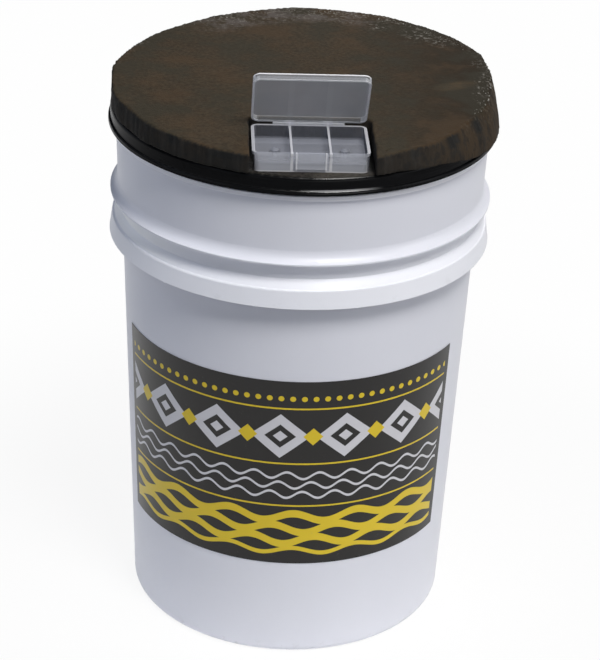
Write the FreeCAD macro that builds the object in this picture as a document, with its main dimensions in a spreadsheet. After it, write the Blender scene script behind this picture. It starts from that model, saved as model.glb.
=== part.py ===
import FreeCAD, Part
import math
import os
import re
import Sketcher

doc = FreeCAD.newDocument("SeatBucket")
sheet = doc.addObject("Spreadsheet::Sheet", "Sizes")

# Driving dimensions, in millimetres and degrees
sizes = {
    # pail: base, wall and inside
    "pail_height": 433.0,
    "base_radius": 131.7,
    "wall_draft": 2.0,
    "pail_wall": 2.3,
    "base_thickness": 3.2,
    "base_recess": 2.5,
    "base_corner": 6.0,
    "foot_width": 12.0,
    "inner_corner": 1.5,
    # pail: lower ring with its hanging skirt, and the gussets behind the skirt
    "skirt_drop": 104.3,
    "skirt_height": 15.0,
    "skirt_reach": 10.8,
    "skirt_flare": 2.0,
    "skirt_wall": 2.2,
    "skirt_edge": 1.5,
    "shoulder_rise": 6.7,
    "ledge_rise": 18.6,
    "gusset_count": 12,
    "gusset_thickness": 2.0,
    "gusset_drop": 6.0,
    "gusset_tip": 1.2,
    # pail: recess, upper ring, neck, stop ring and rim
    "recess_step": 1.76,
    "flange_drop": 68.6,
    "flange_reach": 7.9,
    "flange_edge": 1.2,
    "flange_rise": 10.0,
    "flange_sweep": 9.8,
    "neck_step": 2.0,
    "stop_drop": 16.0,
    "stop_height": 3.5,
    "stop_reach": 2.2,
    "rim_reach": 1.2,
    "rim_height": 7.0,
    "rim_edge": 1.2,
    # label film
    "label_bottom": 89.5,
    "label_height": 170.0,
    "label_span": 132.3,
    "label_turn": -6.3,
    "label_thickness": 0.25,
    "label_gap": 0.12,
    # lid that carries the seat, and its gasket
    "gasket_thickness": 1.5,
    "gasket_gap": 0.4,
    "lid_panel": 2.5,
    "lid_clearance": 1.0,
    "lid_depth": 14.0,
    "lid_skirt_wall": 2.0,
    "lid_edge": 3.0,
    "lid_bead": 1.6,
    "lid_bead_height": 2.0,
    "plug_gap": 1.2,
    "plug_depth": 8.5,
    "plug_wall": 2.2,
    "rib_ring_radius": 75.0,
    "rib_depth": 8.0,
    "rib_thickness": 2.0,
    "rib_count": 8,
    # foam pad
    "pad_inset": 0.1,
    "pad_stretch": 7.5,
    "pad_flatness": 32.6,
    "pad_front_thickness": 15.0,
    "pad_back_thickness": 21.5,
    "pad_crown": 1.5,
    "pad_edge": 2.0,
    "pad_offset_x": 0.5,
    "pad_offset_y": 5.0,
    "pad_gap": 0.2,
    "notch_gap_left": 2.0,
    "notch_gap_right": 4.0,
    "notch_gap_back": 9.0,
    "notch_corner": 8.0,
    # tackle box tray
    "tray_width": 88.0,
    "tray_depth": 57.5,
    "tray_height": 15.0,
    "tray_setback": 9.96,
    "tray_corner": 6.0,
    "tray_wall": 1.5,
    "tray_rim": 0.8,
    "tray_rim_height": 2.0,
    "floor_height": 5.8,
    "floor_thickness": 1.4,
    "divider_offset": 14.5,
    "divider_thickness": 1.6,
    "divider_drop": 0.6,
    "compartment_corner": 2.5,
    "tab_width": 23.0,
    "tab_thickness": 1.4,
    "tab_bottom": 3.0,
    "tab_rise": 1.0,
    "tab_corner": 3.0,
    # tackle box hinge and lid
    "pin_radius": 0.8,
    "pin_play": 0.05,
    "knuckle_radius": 1.7,
    "hinge_gap": 0.2,
    "hinge_lift": 0.5,
    "tray_knuckle": 7.0,
    "lid_knuckle": 9.0,
    "knuckle_gap": 0.3,
    "box_lid_height": 5.5,
    "box_lid_plate": 1.4,
    "box_lid_wall": 1.5,
    "box_lid_front_gap": 0.3,
    "seam_gap": 0.15,
    "band_width": 4.0,
    "band_depth": 0.5,
    "lid_open": 54.5,
    # push rivets and washers
    "rivet_offset": 26.3,
    "rivet_radius": 2.0,
    "rivet_play": 0.15,
    "rivet_head": 3.2,
    "rivet_head_height": 1.6,
    "rivet_head_edge": 0.4,
    "rivet_tail": 3.0,
    "rivet_tail_height": 2.0,
    "rivet_boss": 4.5,
    "washer_radius": 6.0,
    "washer_thickness": 1.0,
}

# Heights and radii that follow from them: the rings hang from the rim, and the lid, pad and tray follow the rim
derived = {
    "skirt_bottom": "pail_height - skirt_drop",
    "flange_bottom": "pail_height - flange_drop",
    "flange_top": "flange_bottom + flange_rise",
    "stop_bottom": "pail_height - stop_drop",
    "rim_bottom": "pail_height - rim_height",
    "skirt_radius": "base_radius + skirt_bottom * tan(wall_draft) + skirt_reach",
    "recess_radius": "base_radius + (skirt_bottom + skirt_height) * tan(wall_draft) + recess_step",
    "flange_radius": "recess_radius + flange_reach",
    "neck_radius": "recess_radius + neck_step",
    "stop_radius": "neck_radius + (stop_bottom - flange_top) * tan(wall_draft) + stop_reach",
    "rim_radius": "neck_radius + (rim_bottom - flange_top) * tan(wall_draft) + rim_reach",
    "lid_radius": "rim_radius + lid_clearance + lid_skirt_wall",
    "pad_radius": "lid_radius - pad_inset",
    "tray_front": "lid_radius - tray_setback",
}
names = {**sizes, **derived}
for row, (alias, content) in enumerate(names.items(), 1):
    sheet.set(f"A{row}", alias)
    sheet.set(f"B{row}", f"={content}")
    sheet.setAlias(f"B{row}", alias)
doc.recompute()


def bound(formula):
    """The formula with every size name pointing at its cell."""
    return re.sub(r"[a-z_]+", lambda word: f"Sizes.{word[0]}" if word[0] in names else word[0], formula)


def value(formula):
    return float(sheet.evalExpression(formula))


def origin_feature(body, role):
    return next(feature for feature in body.Origin.OriginFeatures if feature.Role == role)


def at(x, y, z, axis="0; 0; 1", angle="0"):
    """A placement formula: moved to a point, turned about an axis."""
    return f"placement(vector({x}; {y}; {z}); rotation(vector({axis}); {angle}))"


def new_body(label, place=None):
    body = doc.addObject("PartDesign::Body", label)
    body.Label = label
    if place:
        body.setExpression("Placement", bound(place))
    return body


def new_sketch(body, name, role="XY_Plane", lift=None, turn=0.0):
    """A sketch on one of the body's planes, lifted along its normal or turned about its upright axis."""
    sketch = body.newObject("Sketcher::SketchObject", name)
    sketch.AttachmentSupport = [(origin_feature(body, role), "")]
    sketch.MapMode = "FlatFace"
    sketch.AttachmentOffset = FreeCAD.Placement(
        FreeCAD.Vector(), FreeCAD.Rotation(FreeCAD.Vector(0, 1, 0), turn))
    if lift:
        sketch.setExpression("AttachmentOffset.Base.z", bound(lift))
    return sketch


def pin_down(sketch, kind, *place, formula):
    """One dimension of the sketch, driven by a formula of the sheet's sizes."""
    index = sketch.addConstraint(Sketcher.Constraint(kind, *place, value(formula)))
    sketch.setExpression(f"Constraints[{index}]", bound(formula))


def arc_between(start, end, radius, left):
    """The short arc from start to end that turns left or right, stored anticlockwise as sketches keep it."""
    chord = end - start
    across = FreeCAD.Vector(-chord.y, chord.x, 0).normalize()
    rise = math.sqrt(max(radius ** 2 - chord.Length ** 2 / 4, 0.0))
    centre = (start + end) * 0.5 + across * (rise if left else -rise)
    first, last = (start, end) if left else (end, start)
    angles = [math.atan2(point.y - centre.y, point.x - centre.x) for point in (first, last)]
    return Part.ArcOfCircle(Part.Circle(centre, FreeCAD.Vector(0, 0, 1), radius), *angles)


def outline(sketch, steps):
    """A closed outline: (x, y) is a straight step, (x, y, radius, "left" or "right") a step along an arc."""
    points = [FreeCAD.Vector(value(step[0]), value(step[1]), 0) for step in steps]
    edges = []
    for index, step in enumerate(steps):
        start, end = points[index - 1], points[index]
        if len(step) == 2:
            edge = sketch.addGeometry(Part.LineSegment(start, end), False)
            edges.append((edge, 1, 2))
            continue
        left = step[3] == "left"
        edge = sketch.addGeometry(arc_between(start, end, value(step[2]), left), False)
        edges.append((edge, 1, 2) if left else (edge, 2, 1))
    for index, (edge, _, end) in enumerate(edges):
        following, start, _ = edges[(index + 1) % len(edges)]
        sketch.addConstraint(Sketcher.Constraint("Coincident", edge, end, following, start))
    for (edge, _, end), step in zip(edges, steps):
        pin_down(sketch, "DistanceX", -1, 1, edge, end, formula=step[0])
        pin_down(sketch, "DistanceY", -1, 1, edge, end, formula=step[1])
        if len(step) > 2:
            pin_down(sketch, "Radius", edge, formula=step[2])


def rounded_rectangle(sketch, left, right, low, high, corner):
    outline(sketch, [
        (f"{right} - {corner}", low),
        (right, f"{low} + {corner}", corner, "left"),
        (right, f"{high} - {corner}"),
        (f"{right} - {corner}", high, corner, "left"),
        (f"{left} + {corner}", high),
        (left, f"{high} - {corner}", corner, "left"),
        (left, f"{low} + {corner}"),
        (f"{left} + {corner}", low, corner, "left"),
    ])


def circle(sketch, x, y, radius):
    centre = FreeCAD.Vector(value(x), value(y), 0)
    edge = sketch.addGeometry(Part.Circle(centre, FreeCAD.Vector(0, 0, 1), value(radius)), False)
    pin_down(sketch, "DistanceX", -1, 1, edge, 3, formula=x)
    pin_down(sketch, "DistanceY", -1, 1, edge, 3, formula=y)
    pin_down(sketch, "Radius", edge, formula=radius)


def revolve(body, name, sketch, span="360"):
    turned = body.newObject("PartDesign::Revolution", name)
    turned.Profile = sketch
    turned.ReferenceAxis = (sketch, ["V_Axis"])
    turned.Midplane = True
    turned.setExpression("Angle", bound(span))
    doc.recompute()
    return turned


def extrude(body, kind, name, sketch, length, both_ways=False, reverse=False):
    """A Pad or a Pocket. The volume has to grow with a Pad and shrink with a Pocket."""
    before = body.Shape.Volume if body.Tip else 0.0
    feature = body.newObject(f"PartDesign::{kind}", name)
    feature.Profile = sketch
    feature.SideType = "Symmetric" if both_ways else "One side"
    feature.Reversed = reverse
    feature.setExpression("Length", bound(length))
    doc.recompute()
    grown = body.Shape.Volume - before
    if (grown if kind == "Pad" else -grown) <= 0:
        raise ValueError(f"{name} on {body.Label} changes nothing")
    return feature


def repeat_round(body, name, feature, count):
    pattern = body.newObject("PartDesign::PolarPattern", name)
    pattern.Originals = [feature]
    pattern.Axis = (origin_feature(body, "Z_Axis"), [""])
    pattern.Angle = 360
    pattern.setExpression("Occurrences", bound(count))
    body.Tip = pattern
    doc.recompute()


def mirror_across(body, name, feature):
    """The feature's twin on the other side of the plane x = 0."""
    twin = body.newObject("PartDesign::Mirrored", name)
    twin.Originals = [feature]
    twin.MirrorPlane = (origin_feature(body, "YZ_Plane"), [""])
    body.Tip = twin
    doc.recompute()


def flat_ring(label, outer, inner, thickness, place):
    """A flat ring standing on its place, cut from one cylinder by another."""
    disc = doc.addObject("Part::Cylinder", f"{label}_disc")
    hole = doc.addObject("Part::Cylinder", f"{label}_hole")
    for cylinder, radius in ((disc, outer), (hole, inner)):
        cylinder.setExpression("Radius", bound(radius))
        cylinder.setExpression("Height", bound(thickness))
        cylinder.setExpression("Placement", bound(place))
    ring = doc.addObject("Part::Cut", label)
    ring.Base = disc
    ring.Tool = hole
    ring.Label = label
    doc.recompute()
    return ring


def twin_pieces(label, piece):
    """The piece and its mirror image across x = 0, as one group of two solids."""
    image = doc.addObject("Part::Mirroring", f"{label}_image")
    image.Source = piece
    image.Normal = FreeCAD.Vector(1, 0, 0)
    pair = doc.addObject("Part::Compound", label)
    pair.Links = [piece, image]
    pair.Label = label
    doc.recompute()
    return pair


def wall_at(height):
    return f"(base_radius + ({height}) * tan(wall_draft))"


def neck_at(height):
    return f"(neck_radius + ({height} - flange_top) * tan(wall_draft))"


# Levels and radii that several pieces share
floor_top = "(base_recess + base_thickness)"
foot_inner = "(base_radius - base_corner - foot_width)"
skirt_top = "(skirt_bottom + skirt_height)"
skirt_inner = "(skirt_radius - skirt_wall)"
web_outer = f"({skirt_top} - skirt_wall)"
web_inner = f"({skirt_top} + shoulder_rise - 2 * pail_wall)"
stop_top = "(stop_bottom + stop_height)"
mouth_radius = f"({neck_at('pail_height')} - pail_wall)"
lid_under = "(pail_height + gasket_thickness)"
lid_top = f"({lid_under} + lid_panel)"
lid_bottom = f"({lid_top} - lid_depth)"
lid_inner = "(lid_radius - lid_skirt_wall)"
plug_radius = f"({mouth_radius} - plug_gap)"
plug_inner = f"({plug_radius} - plug_wall)"
tray_y = "(tray_depth / 2 - tray_front)"
tray_back = "(tray_depth / 2)"
hinge_reach = "(hinge_gap + knuckle_radius)"
hinge_height = "(tray_height + hinge_lift)"


# Pail: one moulding, turned about its upright axis
pail = new_body("pail_body")
section = new_sketch(pail, "pail_section", "XZ_Plane")
outline(section, [
    ("0", "base_recess"),
    (f"{foot_inner} - base_recess", "base_recess"),
    (foot_inner, "0"),
    ("base_radius - base_corner", "0"),
    (wall_at("base_corner"), "base_corner", "base_corner", "left"),
    (wall_at(web_inner), web_inner),
    (f"{skirt_inner} - skirt_flare", web_outer),
    (skirt_inner, "skirt_bottom"),
    ("skirt_radius", "skirt_bottom"),
    ("skirt_radius - skirt_flare", f"{skirt_top} - skirt_edge"),
    ("skirt_radius - skirt_flare - skirt_edge", skirt_top, "skirt_edge", "left"),
    ("recess_radius", f"{skirt_top} + shoulder_rise"),
    ("recess_radius", "flange_bottom"),
    ("flange_radius", "flange_bottom"),
    ("flange_radius", "flange_bottom + flange_edge"),
    ("neck_radius", "flange_top", "flange_sweep", "right"),
    (neck_at("stop_bottom"), "stop_bottom"),
    ("stop_radius", "stop_bottom"),
    ("stop_radius", stop_top),
    (neck_at(stop_top), stop_top),
    (neck_at("rim_bottom"), "rim_bottom"),
    ("rim_radius", "rim_bottom"),
    ("rim_radius", "pail_height - rim_edge"),
    ("rim_radius - rim_edge", "pail_height", "rim_edge", "left"),
    (mouth_radius, "pail_height"),
    ("recess_radius - pail_wall", f"{web_inner} + ledge_rise"),
    (f"{wall_at(web_inner)} - pail_wall", web_inner),
    (f"{wall_at(floor_top + ' + inner_corner')} - pail_wall", f"{floor_top} + inner_corner"),
    (f"{wall_at(floor_top)} - pail_wall - inner_corner", floor_top, "inner_corner", "right"),
    ("0", floor_top),
])
revolve(pail, "pail_turned", section)

# Gussets between the wall and the skirt, the first one half a step off the X axis
gusset = new_sketch(pail, "gusset_outline", "XZ_Plane", turn=180.0 / sizes["gusset_count"])
gusset_low = "(skirt_bottom - gusset_drop)"
embed = "(pail_wall / 2)"
outline(gusset, [
    (f"{wall_at(gusset_low)} - {embed}", gusset_low),
    (f"{skirt_inner} + skirt_wall / 2", "skirt_bottom - gusset_tip"),
    (f"{skirt_inner} + skirt_wall / 2 - skirt_flare", f"{web_outer} + {embed}"),
    (f"{wall_at(web_inner)} - {embed}", f"{web_inner} + {embed}"),
])
rib = extrude(pail, "Pad", "gusset", gusset, "gusset_thickness", both_ways=True)
repeat_round(pail, "gussets", rib, "gusset_count")

# Label film, wrapped round the front of the wall
label = new_body("label", at("0", "0", "0", angle="label_turn - 90"))
film = new_sketch(label, "film_section", "XZ_Plane")
label_top = "(label_bottom + label_height)"
outline(film, [
    (f"{wall_at('label_bottom')} + label_gap", "label_bottom"),
    (f"{wall_at('label_bottom')} + label_gap + label_thickness", "label_bottom"),
    (f"{wall_at(label_top)} + label_gap + label_thickness", label_top),
    (f"{wall_at(label_top)} + label_gap", label_top),
])
revolve(label, "film_wrapped", film, "label_span")

# Seat lid: panel, skirt with a bead at its edge, plug ring inside the pail's mouth and a rib ring
lid = new_body("seat_lid")
section = new_sketch(lid, "lid_section", "XZ_Plane")
bead_top = f"({lid_bottom} + lid_bead_height)"
outline(section, [
    ("0", lid_under),
    ("rib_ring_radius - rib_thickness", lid_under),
    ("rib_ring_radius - rib_thickness", f"{lid_under} - rib_depth"),
    ("rib_ring_radius", f"{lid_under} - rib_depth"),
    ("rib_ring_radius", lid_under),
    (plug_inner, lid_under),
    (plug_inner, f"{lid_under} - plug_depth"),
    (plug_radius, f"{lid_under} - plug_depth"),
    (plug_radius, lid_under),
    (lid_inner, lid_under),
    (lid_inner, lid_bottom),
    ("lid_radius + lid_bead", lid_bottom),
    ("lid_radius + lid_bead", bead_top),
    ("lid_radius", f"{bead_top} + lid_bead", "lid_bead", "left"),
    ("lid_radius", f"{lid_top} - lid_edge"),
    ("lid_radius - lid_edge", lid_top, "lid_edge", "left"),
    ("0", lid_top),
])
revolve(lid, "lid_turned", section)
rib_outline = new_sketch(lid, "rib_outline", "XZ_Plane")
outline(rib_outline, [
    ("rib_ring_radius - rib_thickness / 2", f"{lid_under} - rib_depth"),
    (f"{plug_inner} + plug_wall / 2", f"{lid_under} - rib_depth"),
    (f"{plug_inner} + plug_wall / 2", f"{lid_under} + lid_panel / 2"),
    ("rib_ring_radius - rib_thickness / 2", f"{lid_under} + lid_panel / 2"),
])
rib = extrude(lid, "Pad", "lid_rib", rib_outline, "rib_thickness", both_ways=True)
repeat_round(lid, "lid_ribs", rib, "rib_count")
holes = new_sketch(lid, "rivet_holes", lift=lid_top)
for side in ("rivet_offset", "-rivet_offset"):
    circle(holes, side, tray_y, "rivet_radius + rivet_play")
extrude(lid, "Pocket", "rivet_holes_cut", holes, "lid_panel")

# Gasket in the lid's channel, lying on the pail's rim
gasket = flat_ring("lid_gasket", "rim_radius + gasket_gap", f"{plug_radius} + gasket_gap", "gasket_thickness",
                   at("0", "0", "pail_height"))

# Foam pad: a disc lengthened to front and back, off centre, its left back cut flatter than the rest,
# notched to the front for the tackle box
pad = new_body("seat_pad", at("pad_offset_x", "pad_offset_y", f"{lid_top} + pad_gap"))
pad_end = "(pad_radius + pad_stretch)"
notch_left = "(-tray_width / 2 - notch_gap_left - pad_offset_x)"
notch_right = "(tray_width / 2 + notch_gap_right - pad_offset_x)"
notch_back = f"({tray_y} + {tray_back} + notch_gap_back - pad_offset_y)"
plan = new_sketch(pad, "pad_plan")
outline(plan, [
    ("pad_radius", "pad_stretch"),
    ("0", pad_end, "pad_radius", "left"),
    ("-pad_radius", "pad_stretch", "pad_radius + pad_flatness", "left"),
    ("-pad_radius", "-pad_stretch"),
    (notch_left, f"-pad_stretch - sqrt(pad_radius ^ 2 - {notch_left} ^ 2)", "pad_radius", "left"),
    (notch_left, f"{notch_back} - notch_corner"),
    (f"{notch_left} + notch_corner", notch_back, "notch_corner", "right"),
    (f"{notch_right} - notch_corner", notch_back),
    (notch_right, f"{notch_back} - notch_corner", "notch_corner", "right"),
    (notch_right, f"-pad_stretch - sqrt(pad_radius ^ 2 - {notch_right} ^ 2)"),
    ("pad_radius", "-pad_stretch", "pad_radius", "left"),
])
pad_block_height = "(pad_back_thickness + 2 * pad_crown)"
extrude(pad, "Pad", "pad_block", plan, pad_block_height)

# Its crowned top, rising to the back
crown = new_sketch(pad, "pad_crown_side", "YZ_Plane")
pad_rise = "(pad_back_thickness - pad_front_thickness)"
crown_radius = f"((4 * {pad_end} ^ 2 + {pad_rise} ^ 2) / 4 + pad_crown ^ 2) / (2 * pad_crown)"
crown_clear = f"({pad_block_height} + pad_edge)"
outline(crown, [
    (f"-{pad_end}", "pad_front_thickness", crown_radius, "left"),
    (f"-{pad_end}", crown_clear),
    (pad_end, crown_clear),
    (pad_end, "pad_back_thickness"),
])
crowned = extrude(pad, "Pocket", "pad_crown_cut", crown, "3 * pad_radius", both_ways=True)
heights = [face.CenterOfMass.z for face in crowned.Shape.Faces]
rounding = pad.newObject("PartDesign::Fillet", "pad_edge_rounding")
rounding.Base = (crowned, [f"Face{heights.index(max(heights)) + 1}"])
rounding.setExpression("Radius", bound("pad_edge"))
doc.recompute()

# Tackle tray: walls with a rim, raised floor on a foot wall, two dividers
tray = new_body("tackle_tray", at("0", tray_y, lid_top))
rim_side = "(tray_width / 2)"
wall_side = "(tray_width / 2 - tray_rim)"
wall_end = "(tray_depth / 2 - tray_rim)"
inner_side = f"({wall_side} - tray_wall)"
inner_end = f"({wall_end} - tray_wall)"
wall_corner = "(tray_corner - tray_rim)"
inner_radius = f"({wall_corner} - tray_wall)"
floor_under = "(floor_height - floor_thickness)"
walls = new_sketch(tray, "tray_walls")
rounded_rectangle(walls, f"-{wall_side}", wall_side, f"-{wall_end}", wall_end, wall_corner)
extrude(tray, "Pad", "tray_block", walls, "tray_height")
rim = new_sketch(tray, "tray_rim_outline", lift="tray_height")
rounded_rectangle(rim, f"-{rim_side}", rim_side, f"-{tray_back}", tray_back, "tray_corner")
extrude(tray, "Pad", "tray_rim_band", rim, "tray_rim_height", reverse=True)
mouth = new_sketch(tray, "tray_mouth", lift="tray_height")
rounded_rectangle(mouth, f"-{inner_side}", inner_side, f"-{inner_end}", inner_end, inner_radius)
extrude(tray, "Pocket", "tray_mouth_cut", mouth, "divider_drop")
pockets = new_sketch(tray, "compartments", lift="tray_height")
divider_near = "(divider_offset - divider_thickness / 2)"
divider_far = "(divider_offset + divider_thickness / 2)"
compartments = (
    (f"-{inner_side}", f"-{divider_far}"),
    (f"-{divider_near}", divider_near),
    (divider_far, inner_side),
)
for left, right in compartments:
    rounded_rectangle(pockets, left, right, f"-{inner_end}", inner_end, "compartment_corner")
extrude(tray, "Pocket", "compartments_cut", pockets, "tray_height - floor_height")
hollow = new_sketch(tray, "underside")
rounded_rectangle(hollow, f"-{inner_side}", inner_side, f"-{inner_end}", inner_end, inner_radius)
extrude(tray, "Pocket", "underside_cut", hollow, floor_under, reverse=True)
bosses = new_sketch(tray, "rivet_bosses")
holes = new_sketch(tray, "rivet_holes")
for side in ("rivet_offset", "-rivet_offset"):
    circle(bosses, side, "0", "rivet_boss")
    circle(holes, side, "0", "rivet_radius + rivet_play")
extrude(tray, "Pad", "rivet_bosses_raised", bosses, f"{floor_under} + floor_thickness / 2")
extrude(tray, "Pocket", "rivet_holes_cut", holes, "floor_height", reverse=True)

# Catch tab on the tray's front wall, with the packing that joins it to the wall below the rim
tab = new_sketch(tray, "catch_tab", "XZ_Plane", lift=tray_back)
tab_side = "(tab_width / 2)"
tab_top = "(tray_height + tab_rise)"
outline(tab, [
    (tab_side, "tab_bottom"),
    (tab_side, f"{tab_top} - tab_corner"),
    (f"{tab_side} - tab_corner", tab_top, "tab_corner", "left"),
    (f"-{tab_side} + tab_corner", tab_top),
    (f"-{tab_side}", f"{tab_top} - tab_corner", "tab_corner", "left"),
    (f"-{tab_side}", "tab_bottom"),
])
extrude(tray, "Pad", "catch_tab_plate", tab, "tab_thickness")
packing = new_sketch(tray, "tab_packing", "XZ_Plane", lift=tray_back)
packing_top = "(tray_height - tray_rim_height / 2)"
outline(packing, [
    (tab_side, "tab_bottom"),
    (tab_side, packing_top),
    (f"-{tab_side}", packing_top),
    (f"-{tab_side}", "tab_bottom"),
])
extrude(tray, "Pad", "tab_packing_block", packing, "tray_rim + tray_wall / 2", reverse=True)

# Hinge lugs on the tray's back wall
lug = new_sketch(tray, "tray_lug", "YZ_Plane", lift="divider_offset")
axis_y = f"({tray_back} + {hinge_reach})"
outline(lug, [
    (f"{tray_back} - tray_rim", f"{hinge_height} - knuckle_radius"),
    (axis_y, f"{hinge_height} - knuckle_radius"),
    (f"{axis_y} + knuckle_radius", hinge_height, "knuckle_radius", "left"),
    (axis_y, f"{hinge_height} + knuckle_radius", "knuckle_radius", "left"),
    (f"{axis_y} - knuckle_radius", hinge_height, "knuckle_radius", "left"),
    (f"{axis_y} - knuckle_radius", "tray_height"),
    (f"{tray_back} - tray_rim", "tray_height"),
])
knuckle = extrude(tray, "Pad", "tray_knuckle_right", lug, "tray_knuckle", both_ways=True)
mirror_across(tray, "tray_knuckle_left", knuckle)
bore = new_sketch(tray, "tray_pin_bore", "YZ_Plane")
circle(bore, axis_y, hinge_height, "pin_radius + pin_play")
extrude(tray, "Pocket", "tray_pin_bore_cut", bore, "tray_width", both_ways=True)

# Tackle box lid: drawn shut with its hinge line as origin, then opened about that line
hinge_line = (f"{tray_y} + {axis_y}", f"{lid_top} + {hinge_height}")
box_lid = new_body("tackle_lid", at("0", *hinge_line, axis="1; 0; 0", angle="-lid_open"))
lid_back = f"(-{hinge_reach})"
lid_front = f"({lid_back} - tray_depth + box_lid_front_gap)"
lid_low = "(seam_gap - hinge_lift)"
lid_high = f"({lid_low} + box_lid_height)"
shell = new_sketch(box_lid, "box_lid_outline", lift=lid_low)
rounded_rectangle(shell, f"-{rim_side}", rim_side, lid_front, lid_back, "tray_corner")
extrude(box_lid, "Pad", "box_lid_block", shell, "box_lid_height")
cavity = new_sketch(box_lid, "box_lid_cavity", lift=lid_low)
rounded_rectangle(cavity, f"-{rim_side} + box_lid_wall", f"{rim_side} - box_lid_wall",
                  f"{lid_front} + box_lid_wall", f"{lid_back} - box_lid_wall", "(tray_corner - box_lid_wall)")
extrude(box_lid, "Pocket", "box_lid_cavity_cut", cavity, "box_lid_height - box_lid_plate", reverse=True)
bands = new_sketch(box_lid, "divider_bands", lift=f"{lid_high} - box_lid_plate / 2")
for middle in ("divider_offset", "-divider_offset"):
    outline(bands, [
        (f"{middle} - band_width / 2", f"{lid_front} + box_lid_wall / 2"),
        (f"{middle} + band_width / 2", f"{lid_front} + box_lid_wall / 2"),
        (f"{middle} + band_width / 2", f"{lid_back} - box_lid_wall / 2"),
        (f"{middle} - band_width / 2", f"{lid_back} - box_lid_wall / 2"),
    ])
extrude(box_lid, "Pad", "divider_bands_raised", bands, "box_lid_plate / 2 + band_depth", reverse=True)
lug_steps = [
    (f"{lid_back} - box_lid_wall / 2", lid_low),
    ("-knuckle_radius", lid_low),
    ("-knuckle_radius", "0"),
    ("0", "-knuckle_radius", "knuckle_radius", "left"),
    ("knuckle_radius", "0", "knuckle_radius", "left"),
    ("0", "knuckle_radius", "knuckle_radius", "left"),
    (f"{lid_back} - box_lid_wall / 2", "knuckle_radius"),
]
middle_lug = new_sketch(box_lid, "middle_lug", "YZ_Plane")
outline(middle_lug, lug_steps)
extrude(box_lid, "Pad", "middle_knuckle", middle_lug,
        "2 * divider_offset - tray_knuckle - 2 * knuckle_gap", both_ways=True)
side_lug = new_sketch(box_lid, "side_lug", "YZ_Plane",
                      lift="divider_offset + tray_knuckle / 2 + knuckle_gap + lid_knuckle / 2")
outline(side_lug, lug_steps)
knuckle = extrude(box_lid, "Pad", "side_knuckle_right", side_lug, "lid_knuckle", both_ways=True)
mirror_across(box_lid, "side_knuckle_left", knuckle)
bore = new_sketch(box_lid, "lid_pin_bore", "YZ_Plane")
circle(bore, "0", "0", "pin_radius + pin_play")
extrude(box_lid, "Pocket", "lid_pin_bore_cut", bore, "tray_width", both_ways=True)

# Hinge pin through all the knuckles
pin_half = "(divider_offset + tray_knuckle / 2 + knuckle_gap + lid_knuckle)"
pin = doc.addObject("Part::Cylinder", "hinge_pin")
pin.Label = "hinge_pin"
pin.setExpression("Radius", bound("pin_radius"))
pin.setExpression("Height", bound(f"2 * {pin_half}"))
pin.setExpression("Placement", bound(at(f"-{pin_half}", *hinge_line, axis="0; 1; 0", angle="90")))

# Push rivets through the tray's floor and the lid's panel, and the washers behind the panel
rivet_reach = "(floor_height + lid_panel + washer_thickness)"
rivet = new_body("rivet", at("rivet_offset", tray_y, f"{lid_top} + floor_height"))
section = new_sketch(rivet, "rivet_section", "XZ_Plane")
dome = "(rivet_head_height - rivet_head_edge)"
outline(section, [
    ("0", f"-{rivet_reach} - rivet_tail_height"),
    ("rivet_radius", f"-{rivet_reach} - rivet_tail_height"),
    ("rivet_tail", f"-{rivet_reach}"),
    ("rivet_radius", f"-{rivet_reach}"),
    ("rivet_radius", "0"),
    ("rivet_head", "0"),
    ("rivet_head", "rivet_head_edge"),
    ("0", "rivet_head_height", f"(rivet_head ^ 2 + {dome} ^ 2) / (2 * {dome})", "left"),
])
revolve(rivet, "rivet_turned", section)
rivets = twin_pieces("tray_rivets", rivet)
washer = flat_ring("washer", "washer_radius", "rivet_radius + rivet_play", "washer_thickness",
                   at("rivet_offset", tray_y, f"{lid_under} - washer_thickness"))
washers = twin_pieces("rivet_washers", washer)

# Every object has to be sound before anything is written
doc.recompute()
for piece in doc.Objects:
    if "Invalid" in piece.State or "Error" in piece.State:
        raise ValueError(f"{piece.Label} did not build: {piece.State}")
nodes = [pail, label, lid, gasket, pad, tray, box_lid, pin, rivets, washers]
for node in nodes:
    if node.Shape.isNull() or not node.Shape.isValid():
        raise ValueError(f"{node.Label} has no sound shape")
os.makedirs("parts", exist_ok=True)
for node in nodes:
    node.Shape.exportStep(f"parts/{node.Label}.step")
    box = node.Shape.BoundBox
    print(f"{node.Label}: {len(node.Shape.Solids)} solid(s), {node.Shape.Volume / 1000:.2f} cm3, "
          f"z {box.ZMin:.1f} to {box.ZMax:.1f}")
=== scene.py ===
import math
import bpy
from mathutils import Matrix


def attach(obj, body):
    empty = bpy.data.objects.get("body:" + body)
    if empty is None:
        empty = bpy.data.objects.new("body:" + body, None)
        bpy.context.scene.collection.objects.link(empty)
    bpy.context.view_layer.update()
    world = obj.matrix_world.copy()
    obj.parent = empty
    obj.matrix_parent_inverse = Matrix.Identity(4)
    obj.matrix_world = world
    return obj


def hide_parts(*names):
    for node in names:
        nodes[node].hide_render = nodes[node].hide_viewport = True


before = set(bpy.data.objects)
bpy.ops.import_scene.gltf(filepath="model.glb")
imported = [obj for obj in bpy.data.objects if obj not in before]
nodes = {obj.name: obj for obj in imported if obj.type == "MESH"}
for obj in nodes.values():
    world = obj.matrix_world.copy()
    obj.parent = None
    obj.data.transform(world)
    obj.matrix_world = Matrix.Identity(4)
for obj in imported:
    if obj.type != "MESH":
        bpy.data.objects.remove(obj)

from types import SimpleNamespace

import bpy
from mathutils import Matrix, Vector, noise
from mathutils.kdtree import KDTree

scene = bpy.context.scene
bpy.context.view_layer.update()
print("frame loaded:", len(nodes), "nodes")


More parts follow.
